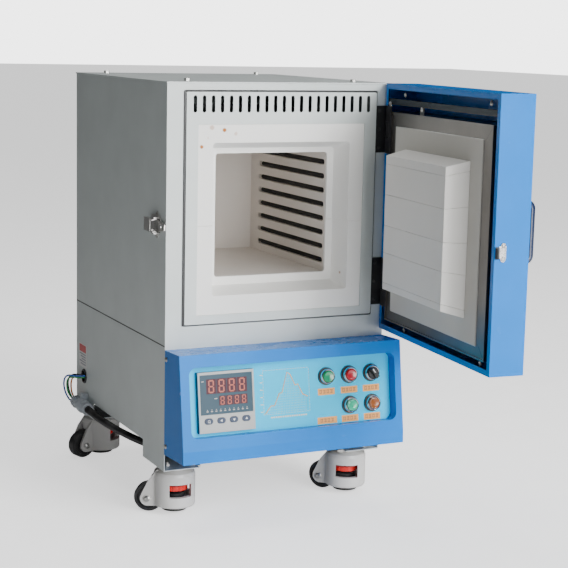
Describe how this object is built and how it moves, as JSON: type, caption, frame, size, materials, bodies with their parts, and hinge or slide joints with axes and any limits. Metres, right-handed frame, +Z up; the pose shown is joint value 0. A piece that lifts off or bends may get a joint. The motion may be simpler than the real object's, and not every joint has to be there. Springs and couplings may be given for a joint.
{
  "type": "kiln for pottery",
  "caption": "Electric box kiln on swivel casters with levelling pads, a side-hinged plug door, a fibre-lined firing chamber and a slanted control panel below.",
  "frame": {"origin": "middle of the whole footprint with the door open as stored, on the floor under the wheels", "axes": "+X to the door hinge side, +Y from the mouth to the back, +Z up"},
  "size_m": [0.4728, 0.8676, 0.7092],
  "materials": {
    "cabinet_paint": "light grey powder coat, fine texture",
    "blue_paint": "blue powder coat, satin",
    "bare_sheet": "galvanised inner sheet, dull",
    "fibre": "moulded ceramic fibre board, matt and fine grained",
    "refractory": "light refractory chamber lining, matt",
    "element_wire": "oxidised resistance wire",
    "ceramic_sheath": "fired ceramic tube",
    "stainless": "brushed stainless sheet",
    "dark_metal": "black coated steel",
    "meter_plastic": "warm grey moulded plastic",
    "black_plastic": "black moulded plastic",
    "key_rubber": "dark blue silicone keys",
    "green_cap": "green moulded cap",
    "red_cap": "red moulded cap",
    "lamp_lens": "translucent lens",
    "navy_handle": "dark navy coated bar",
    "conduit_plastic": "corrugated conduit",
    "grey_plastic": "grey ribbed connector",
    "wire_pvc": "insulated leads",
    "caster_white": "die-cast body, off-white coat",
    "wheel_nylon": "black nylon wheel",
    "pad_rubber": "black rubber pad",
    "thumb_red": "red adjusting wheel",
    "zinc": "zinc plated fasteners"
  },
  "bodies": {
    "cabinet": {"upper_casing": "cabinet_paint", "top_cover": "cabinet_paint", "rear_panel": "cabinet_paint", "mouth_plate": "cabinet_paint", "inner_shell": "bare_sheet", "insulation": "fibre", "mouth_frame_upper": "fibre", "mouth_frame_lower": "fibre", "chamber_sides": "refractory", "chamber_roof": "refractory", "hearth": "refractory", "chamber_back": "refractory", "heating_elements": "element_wire", "thermocouple": "ceramic_sheath", "lower_chassis": "cabinet_paint", "floor_pan": "dark_metal", "control_housing": "blue_paint", "controller_case": "meter_plastic", "switch_bodies": "black_plastic", "lamp_lenses": "lamp_lens", "power_relay": "black_plastic", "hinge_cabinet_halves": "dark_metal", "latch_base": "stainless", "conduit": "conduit_plastic", "conduit_connectors": "grey_plastic", "wires": "wire_pvc", "case_screws": "zinc", "caster_plates": "zinc"},
    "door": {"door_shell": "blue_paint", "door_frame": "stainless", "door_board": "fibre", "door_plug": "fibre", "door_handle": "navy_handle", "latch_keeper": "stainless", "hinge_door_halves": "dark_metal"},
    "lever": {"latch_lever": "stainless"},
    "hook": {"latch_hook": "stainless"},
    "key_one": {"key_1": "key_rubber"},
    "key_two": {"key_2": "key_rubber"},
    "key_three": {"key_3": "key_rubber"},
    "key_four": {"key_4": "key_rubber"},
    "start_button": {"button_green": "green_cap"},
    "stop_button": {"button_red": "red_cap"},
    "selector": {"selector_knob": "black_plastic"},
    "caster_fl": {"caster_housing_fl": "caster_white"},
    "wheel_fl": {"caster_wheel_fl": "wheel_nylon"},
    "pad_fl": {"leveling_pad_fl": "pad_rubber"},
    "thumb_fl": {"thumb_wheel_fl": "thumb_red"},
    "caster_fr": {"caster_housing_fr": "caster_white"},
    "wheel_fr": {"caster_wheel_fr": "wheel_nylon"},
    "pad_fr": {"leveling_pad_fr": "pad_rubber"},
    "thumb_fr": {"thumb_wheel_fr": "thumb_red"},
    "caster_rl": {"caster_housing_rl": "caster_white"},
    "wheel_rl": {"caster_wheel_rl": "wheel_nylon"},
    "pad_rl": {"leveling_pad_rl": "pad_rubber"},
    "thumb_rl": {"thumb_wheel_rl": "thumb_red"},
    "caster_rr": {"caster_housing_rr": "caster_white"},
    "wheel_rr": {"caster_wheel_rr": "wheel_nylon"},
    "pad_rr": {"leveling_pad_rr": "pad_rubber"},
    "thumb_rr": {"thumb_wheel_rr": "thumb_red"}
  },
  "joints": [
    {"name": "door_hinge", "type": "hinge", "parent": "cabinet", "child": "door", "pos_m": [0.1798, -0.04302, 0.488], "axis": [0, 0, 1], "range_deg": [-85.2, 30]},
    {"name": "latch_lever_hinge", "type": "hinge", "parent": "cabinet", "child": "lever", "pos_m": [-0.2152, -0.00302, 0.4785], "axis": [0, 0, 1], "range_deg": [0, 150]},
    {"name": "latch_hook_hinge", "type": "hinge", "parent": "lever", "child": "hook", "pos_m": [-0.2172, 0.00298, 0.4785], "axis": [0, 0, 1], "range_deg": [-150, 0]},
    {"name": "key_one_press", "type": "slide", "parent": "cabinet", "child": "key_one", "axis": [0, 0.9898, -0.1424], "range_m": [0, 0.001], "stiffness_N_per_m": 800, "springref_m": -0.0005},
    {"name": "key_two_press", "type": "slide", "parent": "cabinet", "child": "key_two", "axis": [0, 0.9898, -0.1424], "range_m": [0, 0.001], "stiffness_N_per_m": 800, "springref_m": -0.0005},
    {"name": "key_three_press", "type": "slide", "parent": "cabinet", "child": "key_three", "axis": [0, 0.9898, -0.1424], "range_m": [0, 0.001], "stiffness_N_per_m": 800, "springref_m": -0.0005},
    {"name": "key_four_press", "type": "slide", "parent": "cabinet", "child": "key_four", "axis": [0, 0.9898, -0.1424], "range_m": [0, 0.001], "stiffness_N_per_m": 800, "springref_m": -0.0005},
    {"name": "start_button_press", "type": "slide", "parent": "cabinet", "child": "start_button", "axis": [0, 0.9898, -0.1424], "range_m": [0, 0.0035], "stiffness_N_per_m": 600, "springref_m": -0.001},
    {"name": "stop_button_press", "type": "slide", "parent": "cabinet", "child": "stop_button", "axis": [0, 0.9898, -0.1424], "range_m": [0, 0.0035], "stiffness_N_per_m": 600, "springref_m": -0.001},
    {"name": "selector_turn", "type": "hinge", "parent": "cabinet", "child": "selector", "pos_m": [0.1378, -0.09203, 0.23251], "axis": [0, -0.9898, 0.1424], "range_deg": [-90, 0]},
    {"name": "caster_fl_swivel", "type": "hinge", "parent": "cabinet", "child": "caster_fl", "pos_m": [-0.1702, 0.01498, 0.058], "axis": [0, 0, 1], "continuous": true},
    {"name": "wheel_fl_spin", "type": "hinge", "parent": "caster_fl", "child": "wheel_fl", "pos_m": [-0.2062, 0.03661, 0.024], "axis": [-0.515, -0.8572, 0], "continuous": true},
    {"name": "thumb_fl_turn", "type": "hinge", "parent": "caster_fl", "child": "thumb_fl", "pos_m": [-0.1702, 0.01498, 0.04], "axis": [0, 0, 1], "range_deg": [-2060, 0]},
    {"name": "pad_fl_slide", "type": "slide", "parent": "caster_fl", "child": "pad_fl", "axis": [0, 0, 1], "range_m": [-0.0102, 0.0001]},
    {"name": "caster_fr_swivel", "type": "hinge", "parent": "cabinet", "child": "caster_fr", "pos_m": [0.1478, 0.01498, 0.058], "axis": [0, 0, 1], "continuous": true},
    {"name": "wheel_fr_spin", "type": "hinge", "parent": "caster_fr", "child": "wheel_fr", "pos_m": [0.12223, 0.0483, 0.024], "axis": [-0.7934, -0.6088, 0], "continuous": true},
    {"name": "thumb_fr_turn", "type": "hinge", "parent": "caster_fr", "child": "thumb_fr", "pos_m": [0.1478, 0.01498, 0.04], "axis": [0, 0, 1], "range_deg": [-2060, 0]},
    {"name": "pad_fr_slide", "type": "slide", "parent": "caster_fr", "child": "pad_fr", "axis": [0, 0, 1], "range_m": [-0.0102, 0.0001]},
    {"name": "caster_rl_swivel", "type": "hinge", "parent": "cabinet", "child": "caster_rl", "pos_m": [-0.1702, 0.39098, 0.058], "axis": [0, 0, 1], "continuous": true},
    {"name": "wheel_rl_spin", "type": "hinge", "parent": "caster_rl", "child": "wheel_rl", "pos_m": [-0.21095, 0.38082, 0.024], "axis": [0.2419, -0.9703, 0], "continuous": true},
    {"name": "thumb_rl_turn", "type": "hinge", "parent": "caster_rl", "child": "thumb_rl", "pos_m": [-0.1702, 0.39098, 0.04], "axis": [0, 0, 1], "range_deg": [-2060, 0]},
    {"name": "pad_rl_slide", "type": "slide", "parent": "caster_rl", "child": "pad_rl", "axis": [0, 0, 1], "range_m": [-0.0102, 0.0001]},
    {"name": "caster_rr_swivel", "type": "hinge", "parent": "cabinet", "child": "caster_rr", "pos_m": [0.1478, 0.39098, 0.058], "axis": [0, 0, 1], "continuous": true},
    {"name": "wheel_rr_spin", "type": "hinge", "parent": "caster_rr", "child": "wheel_rr", "pos_m": [0.10833, 0.40535, 0.024], "axis": [-0.342, -0.9397, 0], "continuous": true},
    {"name": "thumb_rr_turn", "type": "hinge", "parent": "caster_rr", "child": "thumb_rr", "pos_m": [0.1478, 0.39098, 0.04], "axis": [0, 0, 1], "range_deg": [-2060, 0]},
    {"name": "pad_rr_slide", "type": "slide", "parent": "caster_rr", "child": "pad_rr", "axis": [0, 0, 1], "range_m": [-0.0102, 0.0001]}
  ],
  "couplings": [
    {"joint": "latch_hook_hinge", "follows": "latch_lever_hinge", "ratio": -1},
    {"joint": "pad_fl_slide", "follows": "thumb_fl_turn", "m_per_rad": 0.00027852},
    {"joint": "pad_fr_slide", "follows": "thumb_fr_turn", "m_per_rad": 0.00027852},
    {"joint": "pad_rl_slide", "follows": "thumb_rl_turn", "m_per_rad": 0.00027852},
    {"joint": "pad_rr_slide", "follows": "thumb_rr_turn", "m_per_rad": 0.00027852}
  ]
}
